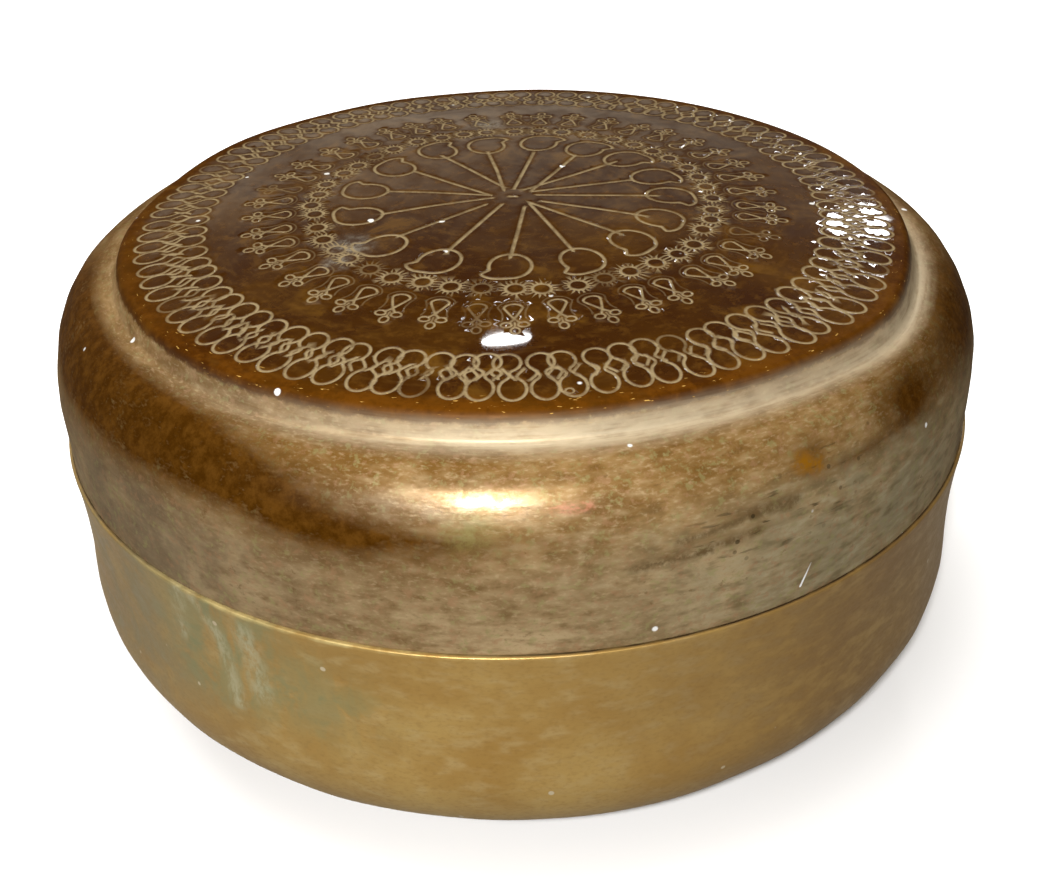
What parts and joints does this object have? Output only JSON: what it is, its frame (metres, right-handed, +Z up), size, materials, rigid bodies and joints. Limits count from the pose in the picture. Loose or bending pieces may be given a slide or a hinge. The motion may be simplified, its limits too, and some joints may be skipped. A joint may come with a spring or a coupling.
{
  "type": "lidded box",
  "caption": "Round brass box: a deep bowl with a flat base, and a lift-off lid with a chased raised top that sleeves over a collar in the bowl's mouth.",
  "frame": {"origin": "centre of the base, on the surface that the box stands on", "axes": "+Z up, along the axis that every piece is turned about; the picture's front is towards -Y"},
  "size_m": [0.181, 0.181, 0.0912],
  "materials": {
    "bowl_brass": "tarnished, rubbed, finely scratched",
    "lid_brass": "dark brown patina, chased grooves filled with pale polish residue",
    "collar_brass": "dull, rubbed bright where the lid slides",
    "solder": "dull grey soft solder"
  },
  "bodies": {
    "base": {"bowl": "bowl_brass", "collar": "collar_brass", "collar_solder": "solder"},
    "cover": {"lid": "lid_brass"}
  },
  "joints": [
    {"name": "lid_lift", "type": "slide", "parent": "base", "child": "cover", "axis": [0, 0, 1], "range_m": [0, 0.11]}
  ]
}
